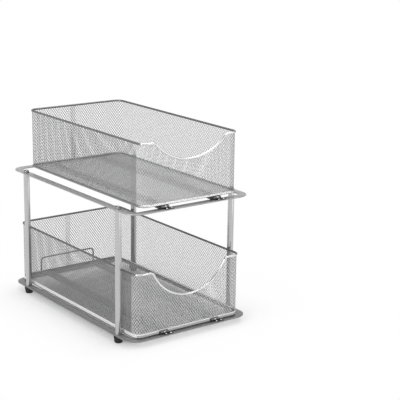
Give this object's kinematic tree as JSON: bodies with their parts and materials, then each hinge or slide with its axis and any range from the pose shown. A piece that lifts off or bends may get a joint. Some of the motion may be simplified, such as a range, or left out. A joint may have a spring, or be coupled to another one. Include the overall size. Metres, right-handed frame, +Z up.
{
  "type": "pull-out cabinet organiser",
  "caption": "Free-standing tiered cabinet organiser: flat metal rings on round posts, with scooped mesh baskets that slide out to the front on channel runners.",
  "frame": {"origin": "on the floor, under the middle of the rings", "axes": "+X to the right, -Y to the front where the baskets pull out, +Z up"},
  "size_m": [0.273, 0.438, 0.3735],
  "materials": {
    "ring": "satin silver paint on flat steel strip",
    "post": "satin silver paint on steel tube",
    "foot": "matt black",
    "chrome": "polished",
    "zinc": "zinc-plated, dull",
    "black_plastic": "moulded, slightly glossy",
    "mesh": "satin silver paint on expanded steel mesh",
    "wire": "satin silver paint on round wire",
    "band": "satin silver paint on flat strip"
  },
  "bodies": {
    "frame": {"lower_ring": "ring", "upper_ring": "ring", "post_front_left": "post", "post_front_right": "post", "post_rear_left": "post", "post_rear_right": "post", "foot_front_left": "foot", "foot_front_right": "foot", "foot_rear_left": "foot", "foot_rear_right": "foot", "post_studs": "zinc", "dome_nuts": "chrome", "lower_runner_left": "zinc", "lower_runner_right": "zinc", "upper_runner_left": "zinc", "upper_runner_right": "zinc", "lower_front_glide_left": "black_plastic", "lower_front_glide_right": "black_plastic", "upper_front_glide_left": "black_plastic", "upper_front_glide_right": "black_plastic", "glide_rivets": "chrome", "runner_rivets": "zinc", "rear_stop_loop": "wire"},
    "lower_basket": {"lower_basket_walls": "mesh", "lower_basket_floor": "mesh", "lower_top_rim": "wire", "lower_base_band": "band", "lower_wall_seam": "mesh", "lower_rail_left": "zinc", "lower_rail_right": "zinc", "lower_rail_caps": "black_plastic", "lower_cap_rivets": "chrome", "lower_rear_glide_left": "black_plastic", "lower_rear_glide_right": "black_plastic"},
    "upper_basket": {"upper_basket_walls": "mesh", "upper_basket_floor": "mesh", "upper_top_rim": "wire", "upper_base_wire": "wire", "upper_wall_seam": "mesh", "upper_rail_left": "zinc", "upper_rail_right": "zinc", "upper_rail_caps": "black_plastic", "upper_cap_rivets": "chrome", "upper_rear_glide_left": "black_plastic", "upper_rear_glide_right": "black_plastic"}
  },
  "joints": [
    {"name": "lower_basket_slide", "type": "slide", "parent": "frame", "child": "lower_basket", "axis": [0, -1, 0], "range_m": [0, 0.3]},
    {"name": "upper_basket_slide", "type": "slide", "parent": "frame", "child": "upper_basket", "axis": [0, -1, 0], "range_m": [0, 0.28]}
  ]
}
